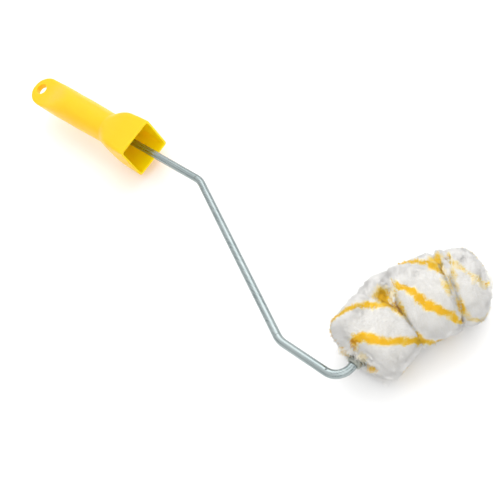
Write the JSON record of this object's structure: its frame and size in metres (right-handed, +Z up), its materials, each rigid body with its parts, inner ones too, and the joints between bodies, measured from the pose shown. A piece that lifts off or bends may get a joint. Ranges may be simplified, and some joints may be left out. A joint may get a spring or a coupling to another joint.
{
  "type": "paint roller",
  "caption": "Long cranked paint roller with a hollow-fronted plastic handle, a bent steel wire and a long-pile striped sleeve that flexes round a curve.",
  "frame": {"origin": "middle of the foot of the whole tool's box, with the wire's plane level", "axes": "+X along the handle from its hang hole to the roller, +Y from the crank towards the free end of the axle, +Z up, square to the wire's plane"},
  "size_m": [0.4544, 0.121, 0.055],
  "materials": {
    "handle_plastic": "smooth moulded yellow plastic, satin to glossy",
    "zinc_wire": "drawn wire, bright zinc plate",
    "spring_steel": "dark spring steel",
    "core_plastic": "off-white moulded plastic",
    "pile": "long white synthetic pile with golden-yellow stripes"
  },
  "bodies": {
    "frame": {"handle": "handle_plastic", "wire_frame": "zinc_wire", "stop_washer": "zinc_wire", "stop_ferrule": "zinc_wire", "spring_near": "spring_steel", "spacer_mid": "core_plastic"},
    "near_roller": {"core_tube_near": "core_plastic", "bush_inner_near": "core_plastic", "bush_outer_near": "core_plastic", "pile_cover_near": "pile"},
    "axle_mid": {"spring_mid": "spring_steel", "spacer_far": "core_plastic"},
    "middle_roller": {"core_tube_mid": "core_plastic", "bush_inner_mid": "core_plastic", "bush_outer_mid": "core_plastic", "pile_cover_mid": "pile"},
    "axle_tip": {"spring_far": "spring_steel", "tip_washer": "zinc_wire", "tip_plug": "core_plastic"},
    "far_roller": {"core_tube_far": "core_plastic", "bush_inner_far": "core_plastic", "bush_outer_far": "core_plastic", "pile_cover_far": "pile"}
  },
  "joints": [
    {"name": "near_spin", "type": "hinge", "parent": "frame", "child": "near_roller", "pos_m": [0.17754, -0.02047, 0.0275], "axis": [0, 1, 0], "continuous": true},
    {"name": "axle_flex_mid", "type": "hinge", "parent": "frame", "child": "axle_mid", "pos_m": [0.17754, -0.00097, 0.0275], "axis": [0, 0, 1], "range_deg": [-2, 32], "stiffness_Nm_per_rad": 0.6},
    {"name": "middle_spin", "type": "hinge", "parent": "axle_mid", "child": "middle_roller", "pos_m": [0.17754, -0.00097, 0.0275], "axis": [0.5299, 0.848, 0], "continuous": true},
    {"name": "axle_flex_tip", "type": "hinge", "parent": "axle_mid", "child": "axle_tip", "pos_m": [0.19795, 0.03168, 0.0275], "axis": [0, 0, 1], "range_deg": [-2, 10], "stiffness_Nm_per_rad": 0.6},
    {"name": "far_spin", "type": "hinge", "parent": "axle_tip", "child": "far_roller", "pos_m": [0.19795, 0.03168, 0.0275], "axis": [0.6691, 0.7431, 0], "continuous": true}
  ]
}
